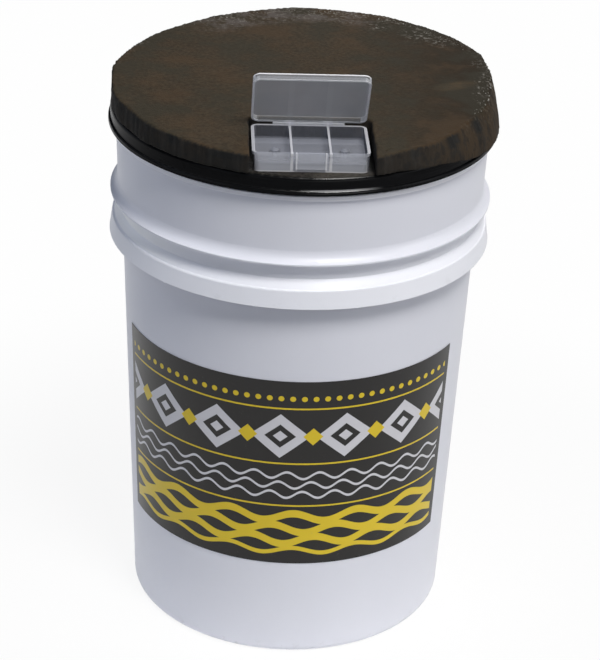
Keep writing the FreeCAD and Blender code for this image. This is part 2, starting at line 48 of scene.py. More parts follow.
class Wire:
    # one socket of a node tree that can stand in a sum
    def __init__(self, graph, socket):
        self.graph = graph
        self.socket = socket

    def math(self, operation, *others):
        return self.graph.add("ShaderNodeMath", {"operation": operation}, dict(enumerate((self, *others))))

    def __add__(self, other):
        return self.math("ADD", other)

    def __sub__(self, other):
        return self.math("SUBTRACT", other)

    def __mul__(self, other):
        return self.math("MULTIPLY", other)

    def __truediv__(self, other):
        return self.math("DIVIDE", other)

    def __abs__(self):
        return self.math("ABSOLUTE")

    def __rsub__(self, other):
        return self * -1.0 + other

    __radd__ = __add__
    __rmul__ = __mul__


class Graph:
    # a node tree, with one way to add a node to it
    def __init__(self, tree):
        self.tree = tree
        tree.nodes.clear()

    def add(self, kind, settings=None, inputs=None, out=0):
        node = self.tree.nodes.new(kind)
        for name, value in (settings or {}).items():
            setattr(node, name, value)
        for name, value in (inputs or {}).items():
            if isinstance(value, Wire):
                self.tree.links.new(value.socket, node.inputs[name])
            else:
                node.inputs[name].default_value = value
        return Wire(self, node.outputs[out] if node.outputs else None)


class Finish(Graph):
    # a material: places on the surface, noises and masks, then one Principled shader
    def __init__(self, name):
        self.material = bpy.data.materials.new(name)
        self.material.use_nodes = True
        super().__init__(self.material.node_tree)
        self.place = self.add("ShaderNodeTexCoord", out="Object")

    def axes(self):
        split = self.add("ShaderNodeSeparateXYZ", inputs={0: self.place}).socket.node
        return [Wire(self, socket) for socket in split.outputs]

    def mapped(self, scale=(1, 1, 1), location=(0, 0, 0)):
        return self.add("ShaderNodeMapping", {"vector_type": "POINT"},
                        {"Vector": self.place, "Location": location, "Scale": scale})

    def cloud(self, scale, detail=3.0, rough=0.5, place=None):
        return self.add("ShaderNodeTexNoise", None, {"Vector": place or self.place, "Scale": scale,
                                                     "Detail": detail, "Roughness": rough})

    def step(self, value, low, high):
        # 0 under low, 1 over high, smooth between
        return self.add("ShaderNodeMapRange", {"interpolation_type": "SMOOTHSTEP"},
                        {0: value, 1: low, 2: high, 3: 0.0, 4: 1.0})

    def past(self, value, start, fade):
        # the same, with both ends of the fade counted from start
        return self.step(value, start + fade[0], start + fade[1])

    def between(self, value, low, high, soft=0.0002):
        return self.step(value, low - soft, low + soft) * (1.0 - self.step(value, high - soft, high + soft))

    def mix(self, under, over, share):
        if not isinstance(under, Wire):
            under = (*under, 1.0)
        if not isinstance(over, Wire):
            over = (*over, 1.0)
        return self.add("ShaderNodeMix", {"data_type": "RGBA"}, {0: share, 6: under, 7: over}, out=2)

    def bump(self, height, strength, distance):
        return self.add("ShaderNodeBump", None,
                        {"Strength": strength, "Distance": distance, "Height": height})

    def surface(self, **sockets):
        shader = self.add("ShaderNodeBsdfPrincipled", None,
                          {name.replace("_", " "): value for name, value in sockets.items()})
        self.add("ShaderNodeOutputMaterial", None, {"Surface": shader})
        return self.material


def gather(shapes):
    whole = shapes[0]
    for shape in shapes[1:]:
        whole = whole.math("MAXIMUM", shape)
    return whole


def paint(nodeName, material):
    mesh = nodes[nodeName].data
    mesh.materials.clear()
    mesh.materials.append(material)


# camera: found from the photograph's edges, rolled a little
cameraSettings = {"place": (-0.0903, -1.7236, 1.1095), "target": (0.0045, -0.0002, 0.2334), "roll": 0.0410,
                  "focalPixels": 2317.5, "imageHeight": 660, "sensor": 36.0, "clipEnd": 60.0}


def makeCamera(settings):
    data = bpy.data.cameras.new("photoCamera")
    data.sensor_width = settings["sensor"]
    data.lens = settings["focalPixels"] * settings["sensor"] / settings["imageHeight"]
    data.clip_end = settings["clipEnd"]
    camera = bpy.data.objects.new("photoCamera", data)
    place = Vector(settings["place"])
    forward = (Vector(settings["target"]) - place).normalized()
    level = forward.cross(Vector((0, 0, 1))).normalized()
    upright = level.cross(forward)
    turn = settings["roll"]
    right = math.cos(turn) * level + math.sin(turn) * upright
    up = math.cos(turn) * upright - math.sin(turn) * level
    camera.matrix_world = Matrix.Translation(place) @ Matrix((right, up, -forward)).transposed().to_4x4()
    scene.collection.objects.link(camera)
    scene.camera = camera


makeCamera(cameraSettings)
print("camera set")

# studio: a floor that is pale near the pail, dim surroundings, a strong lamp high at the front right and
# five weak ones; each lamp has a name, place, size, power, colour and the strength of its highlights
studio = {"floorSize": 40.0, "nearTone": (0.92, 0.92, 0.925), "farTone": (0.25, 0.255, 0.27),
          "nearReach": 0.16, "farReach": 0.60, "nearGlow": 0.90, "farGlow": 0.99,
          "skyLight": 0.03, "horizonLight": 0.04, "horizonHeight": 0.30, "skyTone": (0.82, 0.90, 1.0),
          "lampAim": (0, 0, 0.28),
          "lamps": (("keyLamp", (0.97, -1.98, 3.80), 1.5, 146.0, (1.0, 0.985, 0.95), 1.0),
                    ("leftLamp", (-2.0, -0.3, 2.6), 1.2, 9.0, (0.78, 0.85, 1.0), 0.2),
                    ("rimLamp", (-2.1, 1.2, 0.9), 1.5, 4.0, (0.78, 0.85, 1.0), 0.2),
                    ("frontLamp", (-1.8, -1.6, 1.2), 1.5, 9.5, (0.79, 0.86, 1.0), 0.1),
                    ("rightLamp", (2.3, -0.9, 1.0), 1.2, 16.0, (0.95, 0.97, 1.0), 0.6),
                    ("backLamp", (0.6, 2.6, 1.6), 1.6, 14.0, (1.0, 0.97, 0.93), 0.6))}


def seenRays(graph):
    # 1 where the camera, a mirror or clear plastic looks straight at the surface
    path = graph.add("ShaderNodeLightPath").socket.node
    camera, glossy, through = (Wire(graph, path.outputs[name]) for name in
                               ("Is Camera Ray", "Is Glossy Ray", "Is Transmission Ray"))
    return camera.math("MAXIMUM", glossy.math("MAXIMUM", through))


def makeFloor(settings):
    half = settings["floorSize"] / 2
    corners = [(-half, -half, 0), (half, -half, 0), (half, half, 0), (-half, half, 0)]
    mesh = bpy.data.meshes.new("floor")
    mesh.from_pydata(corners, [], [(0, 1, 2, 3)])
    floor = bpy.data.objects.new("floor", mesh)
    scene.collection.objects.link(floor)
    finish = Finish("floorPale")
    x, y, _ = finish.axes()
    far = finish.step((x * x + y * y).math("SQRT"), settings["nearReach"], settings["farReach"])
    tone = finish.mix(settings["nearTone"], settings["farTone"], far)
    matt = finish.add("ShaderNodeBsdfDiffuse", None, {"Color": tone})
    glow = finish.add("ShaderNodeEmission", None, {"Color": (1, 1, 1, 1), "Strength": 1.0})
    share = seenRays(finish) * (settings["nearGlow"] + far * (settings["farGlow"] - settings["nearGlow"]))
    blend = finish.add("ShaderNodeMixShader", None, {0: share, 1: matt, 2: glow})
    finish.add("ShaderNodeOutputMaterial", None, {"Surface": blend})
    mesh.materials.append(finish.material)


def makeSky(settings):
    world = bpy.data.worlds.new("studioSky")
    world.use_nodes = True
    scene.world = world
    sky = Graph(world.node_tree)
    direction = sky.add("ShaderNodeTexCoord", out="Generated")
    height = sky.add("ShaderNodeSeparateXYZ", inputs={0: direction}, out="Z")
    strength = sky.add("ShaderNodeMapRange", {"interpolation_type": "SMOOTHSTEP"},
                       {0: height, 1: 0.0, 2: settings["horizonHeight"],
                        3: settings["horizonLight"], 4: settings["skyLight"]})
    tone = (*settings["skyTone"], 1.0)
    light = sky.add("ShaderNodeBackground", None, {"Color": tone, "Strength": strength})
    sky.add("ShaderNodeOutputWorld", None, {"Surface": light})


def makeLamps(settings):
    for name, place, size, power, colour, shine in settings["lamps"]:
        lamp = bpy.data.lights.new(name, "AREA")
        lamp.shape = "DISK"
        lamp.size = size
        lamp.energy = power
        lamp.color = colour
        lamp.specular_factor = shine
        holder = bpy.data.objects.new(name, lamp)
        holder.location = place
        holder.rotation_mode = "QUATERNION"
        holder.rotation_quaternion = (Vector(settings["lampAim"]) - Vector(place)).to_track_quat("-Z", "Y")
        scene.collection.objects.link(holder)


makeFloor(studio)
makeSky(studio)
makeLamps(studio)
scene.view_settings.view_transform = "Standard"
print("studio set")

# in the finishes below a cloud is its scale, detail and roughness, places are in metres, and a bump is
# its strength and depth

# pail: satin moulded polyethylene, scuffed where the rings and the foot touch things; its rings, the left of
# its ledge and its stop rib are painted paler as painted light
pailFinish = {"colour": (0.738, 0.747, 0.815), "shade": (0.695, 0.705, 0.78), "scuff": (0.40, 0.40, 0.42),
              "ringPaintedLight": (0.83, 0.84, 0.90), "rings": (0.3265, 0.3650), "ringSoft": 0.0006,
              "ledgePaintedLight": (0.99, 0.99, 1.0), "ledge": (0.3445, 0.3640), "ledgeSide": (-0.145, -0.075),
              "stopPaintedHighlight": (0.93, 0.93, 0.985), "stop": (0.4168, 0.4225), "stopSoft": 0.0004,
              "ringEdge": 0.1524, "ringFade": (0.0, 0.0016), "foot": (0.0036, 0.012),
              "broadCloud": (7.0, 2.0), "flowCloud": (14.0, 3.0), "flowStretch": (1.0, 1.0, 0.12),
              "rubCloud": (120.0, 5.0, 0.65), "rubbed": (0.56, 0.68), "peelCloud": (650.0, 2.0),
              "scratchCloud": (90.0, 4.0, 0.7), "scratchStretch": (1.0, 1.0, 9.0), "scratched": (0.55, 0.75),
              "roughness": 0.33, "bump": (0.10, 0.0006), "ior": 1.5, "specular": 0.45}


def makePailFinish(settings):
    finish = Finish("pailWhite")
    x, y, z = finish.axes()
    radius = (x * x + y * y).math("SQRT")
    broad = finish.cloud(*settings["broadCloud"])
    flow = finish.cloud(*settings["flowCloud"], place=finish.mapped(settings["flowStretch"]))
    colour = finish.mix(settings["colour"], settings["shade"], broad * 0.5 + flow * 0.3)
    rub = finish.step(finish.cloud(*settings["rubCloud"]), *settings["rubbed"])
    ringTouch = finish.past(radius, settings["ringEdge"], settings["ringFade"])
    footTouch = 1.0 - finish.step(z, *settings["foot"])
    scuff = rub * (ringTouch * 0.15 + footTouch * 0.5)
    # painted light: the rings and the recess between them are painted paler than the wall
    ringLightZone = finish.between(z, *settings["rings"], settings["ringSoft"])
    colour = finish.mix(colour, settings["ringPaintedLight"], ringLightZone * 0.9)
    # painted light: the ledge under the upper ring is painted paler on its left side
    ledgeLightZone = finish.between(z, *settings["ledge"], settings["ringSoft"])
    ledgeLightZone = ledgeLightZone * (1.0 - finish.step(x, *settings["ledgeSide"]))
    colour = finish.mix(colour, settings["ledgePaintedLight"], ledgeLightZone)
    # painted highlight: the stop rib just under the lid is painted paler, a bright line in the lid's shadow
    stopHighlightZone = finish.between(z, *settings["stop"], settings["stopSoft"])
    colour = finish.mix(colour, settings["stopPaintedHighlight"], stopHighlightZone * 0.9)
    colour = finish.mix(colour, settings["scuff"], scuff * 0.6)
    peel = finish.cloud(*settings["peelCloud"])
    scratch = finish.cloud(*settings["scratchCloud"], place=finish.mapped(settings["scratchStretch"]))
    rough = settings["roughness"] + broad * 0.1 + scuff * 0.2
    rough = rough + finish.step(scratch, *settings["scratched"]) * 0.1
    height = peel * 0.6 + scratch * 0.25 + flow * 0.4
    return finish.surface(Base_Color=colour, Roughness=rough, Normal=finish.bump(height, *settings["bump"]),
                          IOR=settings["ior"], Specular_IOR_Level=settings["specular"])


paint("pail_body", makePailFinish(pailFinish))
print("pail painted")

# label: printed film with waves, a row of diamonds and ruled lines, in millimetres from its lower middle
# a rule is its height and width; a wave is its height, rise, length, width and phase
labelFinish = {"turn": math.radians(-6.3), "radius": 138.2, "bottom": 89.5, "halfWidth": 159.5,
               "ground": (0.0125, 0.0112, 0.0105), "yellow": (0.72, 0.53, 0.022),
               "pale": (0.64, 0.635, 0.675), "worn": (0.20, 0.19, 0.185), "margin": 6.0, "soft": 0.12,
               "rules": ((145.5, 1.5), (95.0, 1.5), (55.5, 1.5)),
               "diamonds": {"middle": 120.3, "pitch": 52.0, "halfWidth": 24.0, "halfHeight": 20.5,
                            "frame": (0.52, 0.98), "heart": 0.24, "soft": 0.012, "small": 8.0,
                            "smallEdge": (0.97, 1.0)},
               "dots": {"middle": 154.5, "pitch": 9.0, "radius": 2.3},
               "waves": ((84.0, 3.0, 26.0, 2.2, 0.0), (75.0, 3.0, 26.0, 2.2, 1.6),
                         (66.0, 3.0, 26.0, 2.2, 3.2)),
               "swell": ((44.5, 3.6, 52.0, 7.0, 0.0), (33.5, 3.6, 52.0, 7.0, 2.1),
                         (22.5, 3.6, 52.0, 7.0, 4.2), (12.5, 2.6, 52.0, 4.0, 6.3)),
               "wearCloud": (210.0, 5.0, 0.7), "wear": (0.60, 0.75), "fadeCloud": (18.0, 2.0),
               "grainCloud": (380.0, 2.0), "buckleCloud": (30.0, 2.0), "roughness": 0.26,
               "bump": (0.12, 0.0005), "coat": 0.1, "coatRoughness": 0.22, "specular": 0.25}


def makeLabelFinish(settings):
    finish = Finish("labelPrint")
    x, y, z = finish.axes()
    across = (x.math("ARCTAN2", y * -1.0) - settings["turn"]) * settings["radius"]
    up = z * 1000.0 - settings["bottom"]
    soft = settings["soft"]

    def line(middle, width):
        return finish.between(up - middle, -width / 2, width / 2, soft)

    def wave(middle, rise, length, width, phase):
        bend = (across * (2 * math.pi / length) + phase).math("SINE") * rise
        return finish.between(up - bend - middle, -width / 2, width / 2, soft)

    def repeated(place, pitch):
        return place.math("WRAP", -pitch / 2, pitch / 2)

    gems = settings["diamonds"]
    aside, heart, small = gems["soft"], gems["heart"], gems["small"]
    rise = abs(up - gems["middle"])
    reach = abs(repeated(across, gems["pitch"])) / gems["halfWidth"] + rise / gems["halfHeight"]
    frameShape = finish.between(reach, *gems["frame"], aside)
    gemPale = frameShape.math("MAXIMUM", 1.0 - finish.step(reach, heart - aside, heart + aside))
    smallReach = abs(repeated(across + gems["pitch"] / 2, gems["pitch"])) / small + rise / small
    gemYellow = 1.0 - finish.step(smallReach, *gems["smallEdge"])
    dots = settings["dots"]
    spot = repeated(across, dots["pitch"])
    lift = up - dots["middle"]
    dot = 1.0 - finish.past((spot * spot + lift * lift).math("SQRT"), dots["radius"], (-soft, soft))
    printed = settings["halfWidth"] - settings["margin"]
    inside = finish.between(across, -printed, printed, soft)
    pale = gather([gemPale] + [wave(*row) for row in settings["waves"]]) * inside
    yellow = gather([gemYellow, dot] + [line(*row) for row in settings["rules"]]
                    + [wave(*row) for row in settings["swell"]]) * inside
    ink = finish.mix(settings["ground"], settings["pale"], pale)
    ink = finish.mix(ink, settings["yellow"], yellow)
    wear = finish.step(finish.cloud(*settings["wearCloud"]), *settings["wear"])
    faded = finish.cloud(*settings["fadeCloud"])
    ink = finish.mix(ink, settings["worn"], wear * 0.10 + faded * 0.03)
    rough = settings["roughness"] + faded * 0.14 + wear * 0.15
    grain, buckle = (finish.cloud(*settings[name]) for name in ("grainCloud", "buckleCloud"))
    height = grain * 0.5 + (pale + yellow) * 0.15 + buckle * 1.4
    return finish.surface(Base_Color=ink, Roughness=rough, Normal=finish.bump(height, *settings["bump"]),
                          Coat_Weight=settings["coat"], Coat_Roughness=settings["coatRoughness"],
                          Specular_IOR_Level=settings["specular"])


paint("label", makeLabelFinish(labelFinish))
print("label printed")

# seat lid: glossy black moulding with rings of fine scratches and some dust on its ledge, which is polished
# over a short part of the front, given in radians; there the bead carries a painted highlight and the front
# ledge a painted brown reflection
lidFinish = {"colour": (0.0036, 0.0038, 0.0045), "scratched": (0.016, 0.016, 0.018),
             # the rubbed colour is a painted highlight on the bead; the dust colour also makes a painted
             # brown reflection on the front ledge
             "dust": (0.075, 0.066, 0.055), "rubbed": (0.30, 0.30, 0.31),
             "ledge": 0.4363, "ledgeFade": (0.0, 0.0004), "dustFade": (0.0, 0.0006),
             "front": (-0.142, -0.136),
             "polished": (0.04, 0.25), "polishStart": (-0.12, 0.05), "polishEnd": (-0.05, 0.12),
             "edgeLow": 0.4338, "edgeRise": (0.0, 0.0004), "edgeRadius": 0.1503, "edgeOut": (0.0, 0.0003),
             "bead": (0.4246, 0.4272), "highlightHeight": 0.0012, "highlightSoft": 0.0003,
             "ringScale": (260.0, 1.4, 160.0), "scratchCloud": (4.0, 4.0, 0.7), "scratches": (0.52, 0.72),
             "smearCloud": (26.0, 3.0), "dustCloud": (420.0, 4.0), "dusty": (0.4, 0.7),
             "grainCloud": (500.0, 2.0), "roughness": 0.2, "bump": (0.08, 0.0005),
             "specular": 0.03, "coatRoughness": 0.26}


def makeLidFinish(settings):
    finish = Finish("lidBlack")
    x, y, z = finish.axes()
    radius = (x * x + y * y).math("SQRT")
    outScale, roundScale, upScale = settings["ringScale"]
    rings = finish.add("ShaderNodeCombineXYZ", None,
                       {0: radius * outScale, 1: x.math("ARCTAN2", y) * roundScale, 2: z * upScale})
    scratch = finish.step(finish.cloud(*settings["scratchCloud"], place=rings), *settings["scratches"])
    smear = finish.cloud(*settings["smearCloud"])
    dust = finish.step(finish.cloud(*settings["dustCloud"]), *settings["dusty"])
    dust = dust * finish.past(z, settings["ledge"], settings["dustFade"])
    low, high = settings["polished"]
    turn = x.math("ARCTAN2", y * -1.0)
    polished = finish.past(turn, low, settings["polishStart"])
    polished = polished * (1.0 - finish.past(turn, high, settings["polishEnd"]))
    front = 1.0 - finish.step(y, *settings["front"])
    # painted reflection: the ledge in front of the tray is painted brown with the dust colour, most over the
    # polished part, on top of the dust
    ledge = finish.past(z, settings["ledge"], settings["ledgeFade"]) * front * (polished * 0.7 + 0.3)
    edge = finish.past(z, settings["edgeLow"], settings["edgeRise"])
    edge = edge * finish.past(radius, settings["edgeRadius"], settings["edgeOut"])
    beadLow, beadHigh = settings["bead"]
    bead = finish.between(z, beadLow, beadHigh)
    # painted highlight: the top of the bead over the polished front is painted pale with the rubbed colour
    pale = finish.between(z, beadHigh - settings["highlightHeight"], beadHigh, settings["highlightSoft"]) * polished
    colour = finish.mix(settings["colour"], settings["scratched"], scratch * 0.2)
    # dust, and the painted brown reflection on the front ledge
    colour = finish.mix(colour, settings["dust"], dust * (front * 0.3 + 0.1) + smear * 0.02 + ledge * 0.5)
    colour = finish.mix(colour, settings["rubbed"], pale * 0.8)
    rough = settings["roughness"] + smear * 0.14 + scratch * 0.1 + dust * 0.25
    height = finish.cloud(*settings["grainCloud"]) * 0.5 + scratch * 0.3 + smear * 0.6
    coat = (edge * 0.45 + bead * 0.9) * (polished * 0.92 + 0.08)
    return finish.surface(Base_Color=colour, Roughness=rough, Normal=finish.bump(height, *settings["bump"]),
                          Specular_IOR_Level=settings["specular"], Coat_Weight=coat,
                          Coat_Roughness=settings["coatRoughness"])


paint("seat_lid", makeLidFinish(lidFinish))
print("lid painted")

# small pieces: two tones and a fine grain
gasketFinish = {"name": "gasketRubber", "colour": (0.03, 0.03, 0.031), "other": (0.055, 0.054, 0.052),
                "roughness": 0.7, "grain": 900.0, "metal": 0.0}
pinFinish = {"name": "pinSteel", "colour": (0.56, 0.56, 0.58), "other": (0.46, 0.46, 0.48),
             "roughness": 0.28, "grain": 1500.0, "metal": 1.0}
rivetFinish = {"name": "rivetNylon", "colour": (0.235, 0.245, 0.285), "other": (0.190, 0.200, 0.235),
               "roughness": 0.40, "grain": 800.0, "metal": 0.0}
shredFinish = {"name": "foamShred", "colour": (0.20, 0.19, 0.17), "other": (0.40, 0.385, 0.35),
               "roughness": 0.8, "grain": 700.0, "metal": 0.0}
plainFinish = {"speckle": (4.0, 0.6), "broadCloud": (60.0, 2.0), "bump": (0.12, 0.0003)}


def makePlainFinish(settings, plain):
    finish = Finish(settings["name"])
    speckle = finish.cloud(settings["grain"], *plain["speckle"])
    broad = finish.cloud(*plain["broadCloud"])
    tone = finish.mix(settings["colour"], settings["other"], speckle * 0.6 + broad * 0.4)
    return finish.surface(Base_Color=tone, Roughness=settings["roughness"] + broad * 0.12,
                          Metallic=settings["metal"], Normal=finish.bump(speckle, *plain["bump"]))


paint("lid_gasket", makePlainFinish(gasketFinish, plainFinish))
paint("hinge_pin", makePlainFinish(pinFinish, plainFinish))
nylon = makePlainFinish(rivetFinish, plainFinish)
paint("tray_rivets", nylon)
paint("rivet_washers", nylon)
print("small pieces painted")

# tackle box: cloudy clear plastic, more solid where its edges and dividers are seen through their length, and
# painted whiter there and at the foot, tab and front corners as a painted highlight
# the fades are counted from the face, edge or height that they are named for
boxFinish = {"colour": (0.71, 0.74, 0.86), "edgeHighlightColour": (0.93, 0.92, 0.95), "lidColour": (0.68, 0.70, 0.74),
             "frontPaintedShade": (0.490, 0.505, 0.560), "trayEdge": 0.62, "lidEdge": 0.9,
             "halfWidth": 0.044, "front": -0.1435, "back": -0.0860, "top": 0.452, "foot": 0.437,
             "floor": 0.4428, "divider": 0.0145, "dividerHalf": 0.0010, "tab": 0.0115,
             "rimFade": (-0.0004, -0.0001), "frontFade": (0.0022, 0.0027), "backFade": (-0.0029, -0.0024),
             "floorFade": (0.0, 0.0004), "dividerTopFade": (-0.0012, -0.0009), "footFade": (0.0006, 0.0012),
             "tabLine": (-0.0010, 0.0002), "cornerFade": (-0.0034, -0.0012), "lowFade": (-0.0042, 0.0050),
             "hinge": (0.0, -0.0841, 0.4525), "open": math.radians(54.5), "reach": 0.0591,
             "lidHigh": 0.00515, "lidLow": -0.00035, "bandHalf": 0.0020,
             "wallFade": (-0.0019, -0.0015), "nearWall": (0.0034, 0.0038), "lipFade": (0.0002, 0.0006),
             "crestFade": (-0.0012, -0.0006),
             "trayCover": {"wall": 0.14, "front": 0.22, "frontRim": 0.24, "low": 0.14, "floor": 0.03,
                           "back": 0.08},
             "trayWhite": {"rim": 0.72, "dividerTop": 0.85, "divider": 0.8, "foot": 0.8, "tab": 0.8,
                           "corner": 0.6},
             "lidCover": {"plate": 0.44, "far": 0.30, "near": 0.34, "band": 0.015},
             "lidWhite": {"lip": 0.95, "nearLip": 0.45, "farLip": 0.25, "nearCrest": 0.7},
             "hazeCloud": (38.0, 2.0), "grainCloud": (900.0, 2.0), "scratchCloud": (160.0, 4.0, 0.7),
             "scratchStretch": (1.0, 5.0, 1.0), "scratches": (0.62, 0.74), "roughness": 0.24,
             "bump": (0.06, 0.0005), "ior": 1.49, "specular": 0.35}


def cloudyPlastic(finish, settings, cover, edge, edgeCover, colour):
    # cover is the share of light that one plain surface stops, edge is 1 where the view runs along a wall
    haze = finish.cloud(*settings["hazeCloud"])
    grain = finish.cloud(*settings["grainCloud"])
    scratch = finish.cloud(*settings["scratchCloud"], place=finish.mapped(settings["scratchStretch"]))
    whole = cover * (0.9 + haze * 0.2) + edge * (edgeCover - cover)
    rough = settings["roughness"] + haze * 0.12 + finish.step(scratch, *settings["scratches"]) * 0.12
    # painted highlight: the edges are painted whiter
    tone = finish.mix(colour, settings["edgeHighlightColour"], edge * 0.8)
    return finish.surface(Base_Color=tone, Roughness=rough, Alpha=whole, IOR=settings["ior"],
                          Specular_IOR_Level=settings["specular"],
                          Normal=finish.bump(grain * 0.4 + haze * 0.8, *settings["bump"]))


def makeTrayFinish(settings):
    finish = Finish("boxClearTray")
    x, y, z = finish.axes()
    side = abs(x)
    rim = finish.past(z, settings["top"], settings["rimFade"])
    frontWall = 1.0 - finish.past(y, settings["front"], settings["frontFade"])
    backWall = finish.past(y, settings["back"], settings["backFade"])
    floorBand = 1.0 - finish.past(z, settings["floor"], settings["floorFade"])
    middle, half = settings["divider"], settings["dividerHalf"]
    divider = finish.between(side, middle - half, middle + half)
    dividerTop = divider * finish.past(z, settings["top"], settings["dividerTopFade"])
    foot = (1.0 - finish.past(z, settings["foot"], settings["footFade"])) * (frontWall * 0.7 + 0.3)
    tabIn, tabOut = settings["tabLine"]
    tab = finish.between(side, settings["tab"] + tabIn, settings["tab"] + tabOut) * frontWall
    corner = frontWall * finish.past(side, settings["halfWidth"], settings["cornerFade"])
    lowFront = frontWall * (1.0 - finish.past(z, settings["floor"], settings["lowFade"]))
    share = settings["trayCover"]
    cover = share["wall"] + frontWall * (share["front"] - rim * share["frontRim"])
    cover = cover + lowFront * share["low"] + floorBand * share["floor"] - backWall * share["back"]
    white = settings["trayWhite"]
    # painted highlight on the rim, dividers, foot, tab and front corners
    edge = gather([rim * (1.0 - frontWall) * white["rim"], dividerTop * white["dividerTop"],
                   divider * frontWall * white["divider"], foot * white["foot"], tab * white["tab"],
                   corner * white["corner"]])
    # painted shade: the front wall below its rim is painted darker than the other walls
    colour = finish.mix(settings["colour"], settings["frontPaintedShade"], frontWall * (1.0 - rim))
    return cloudyPlastic(finish, settings, cover, edge, settings["trayEdge"], colour)


def makeBoxLidFinish(settings):
    # its own axes: along the hinge, out from the hinge, and through the plate
    finish = Finish("boxClearLid")
    x, y, z = finish.axes()
    _, hingeY, hingeZ = settings["hinge"]
    turn = settings["open"]
    back = y - hingeY
    rise = z - hingeZ
    out = rise * math.sin(turn) - back * math.cos(turn)
    through = back * math.sin(turn) + rise * math.cos(turn)
    side = abs(x)
    sideWall = finish.past(side, settings["halfWidth"], settings["wallFade"])
    farWall = finish.past(out, settings["reach"], settings["wallFade"])
    nearWall = 1.0 - finish.step(out, *settings["nearWall"])
    wall = gather([sideWall, farWall, nearWall])
    lip = 1.0 - finish.past(through, settings["lidLow"], settings["lipFade"])
    crest = finish.past(through, settings["lidHigh"], settings["crestFade"]) * wall
    middle, half = settings["divider"], settings["bandHalf"]
    band = finish.between(side, middle - half, middle + half)
    share = settings["lidCover"]
    cover = share["plate"] - farWall * share["far"] - nearWall * share["near"] + band * share["band"]
    white = settings["lidWhite"]
    # painted highlight on the lip and on the crest of the walls
    edge = gather([lip * (white["lip"] - nearWall * white["nearLip"] - farWall * white["farLip"]),
                   crest * (1.0 - nearWall * white["nearCrest"])])
    return cloudyPlastic(finish, settings, cover, edge, settings["lidEdge"], settings["lidColour"])


paint("tackle_tray", makeTrayFinish(boxFinish))
paint("tackle_lid", makeBoxLidFinish(boxFinish))
print("tackle box painted")

# seat pad: a hand-cut slab of firm foam with a skin on top, in millimetres until it is made a mesh
padSettings = {"middle": (0.5, 5.0), "radius": 153.36, "stretch": 7.5, "flatness": 32.6, "bottom": 437.25,
               "front": 15.0, "back": 21.5, "crown": 1.5, "notchLeft": -46.0, "notchRight": 48.0,
               "notchBack": -77.0, "notchCorner": 8.0, "notchMargin": 6, "spacing": 2.0, "voxel": 0.0018}


def padOutline(settings):
    cx, cy = settings["middle"]
    radius = settings["radius"]
    stretch = settings["stretch"]
    left, right = settings["notchLeft"], settings["notchRight"]
    back, corner = settings["notchBack"], settings["notchCorner"]
    spacing = settings["spacing"]
    points = []

    def arc(x, y, size, start, end):
        count = max(int(abs(end - start) * size / spacing), 4)
        for index in range(count):
            turn = start + (end - start) * index / count
            points.append((x + size * math.cos(turn), y + size * math.sin(turn)))

    frontRight = -math.acos((right - cx) / radius)
    frontLeft = -math.acos((left - cx) / radius)
    arc(cx, cy - stretch, radius, frontRight, 0.0)
    arc(cx, cy + stretch, radius, 0.0, math.pi / 2)
    flatRadius = radius + settings["flatness"]
    shift = math.sqrt(flatRadius ** 2 - radius ** 2 / 2) / math.sqrt(2) - radius / 2
    turn = math.atan2(shift, radius + shift)
    arc(cx + shift, cy + stretch - shift, flatRadius, math.pi / 2 + turn, math.pi - turn)
    arc(cx, cy - stretch, radius, -math.pi, frontLeft)
    points.append((left, cy - stretch + radius * math.sin(frontLeft)))
    arc(left + corner, back - corner, corner, math.pi, math.pi / 2)
    arc(right - corner, back - corner, corner, math.pi / 2, 0.0)
    points.append((right, back - corner))
    dense = []
    for (x, y), (nextX, nextY) in zip(points, points[1:] + points[:1]):
        pieces = max(round(math.hypot(nextX - x, nextY - y) / spacing), 1)
        for piece in range(pieces):
            dense.append((x + (nextX - x) * piece / pieces, y + (nextY - y) * piece / pieces))
    return dense


def padTop(settings, y):
    length = settings["radius"] + settings["stretch"]
    share = (y - settings["middle"][1]) / length
    slope = settings["front"] + (settings["back"] - settings["front"]) * (share + 1) / 2
    return settings["bottom"] + slope + settings["crown"] * (1 - share * share)


def makePadMesh(settings):
    points = padOutline(settings)
    count = len(points)
    low = [(x / 1000, y / 1000, settings["bottom"] / 1000) for x, y in points]
    high = [(x / 1000, y / 1000, padTop(settings, y) / 1000) for x, y in points]
    faces = [tuple(range(count - 1, -1, -1)), tuple(range(count, 2 * count))]
    for index in range(count):
        after = (index + 1) % count
        faces.append((index, after, after + count, index + count))
    mesh = bpy.data.meshes.new("seatPadBlock")
    mesh.from_pydata(low + high, [], faces)
    block = bpy.data.objects.new("seatPadBlock", mesh)
    scene.collection.objects.link(block)
    remesh = block.modifiers.new("evenSkin", "REMESH")
    remesh.mode = "VOXEL"
    remesh.voxel_size = settings["voxel"]
    remesh.adaptivity = 0.0
    evaluated = block.evaluated_get(bpy.context.evaluated_depsgraph_get())
    skin = bpy.data.meshes.new_from_object(evaluated)
    bpy.data.objects.remove(block)
    return skin, points


padSkin, padLine = makePadMesh(padSettings)
print("pad remeshed:", len(padSkin.vertices), "points")

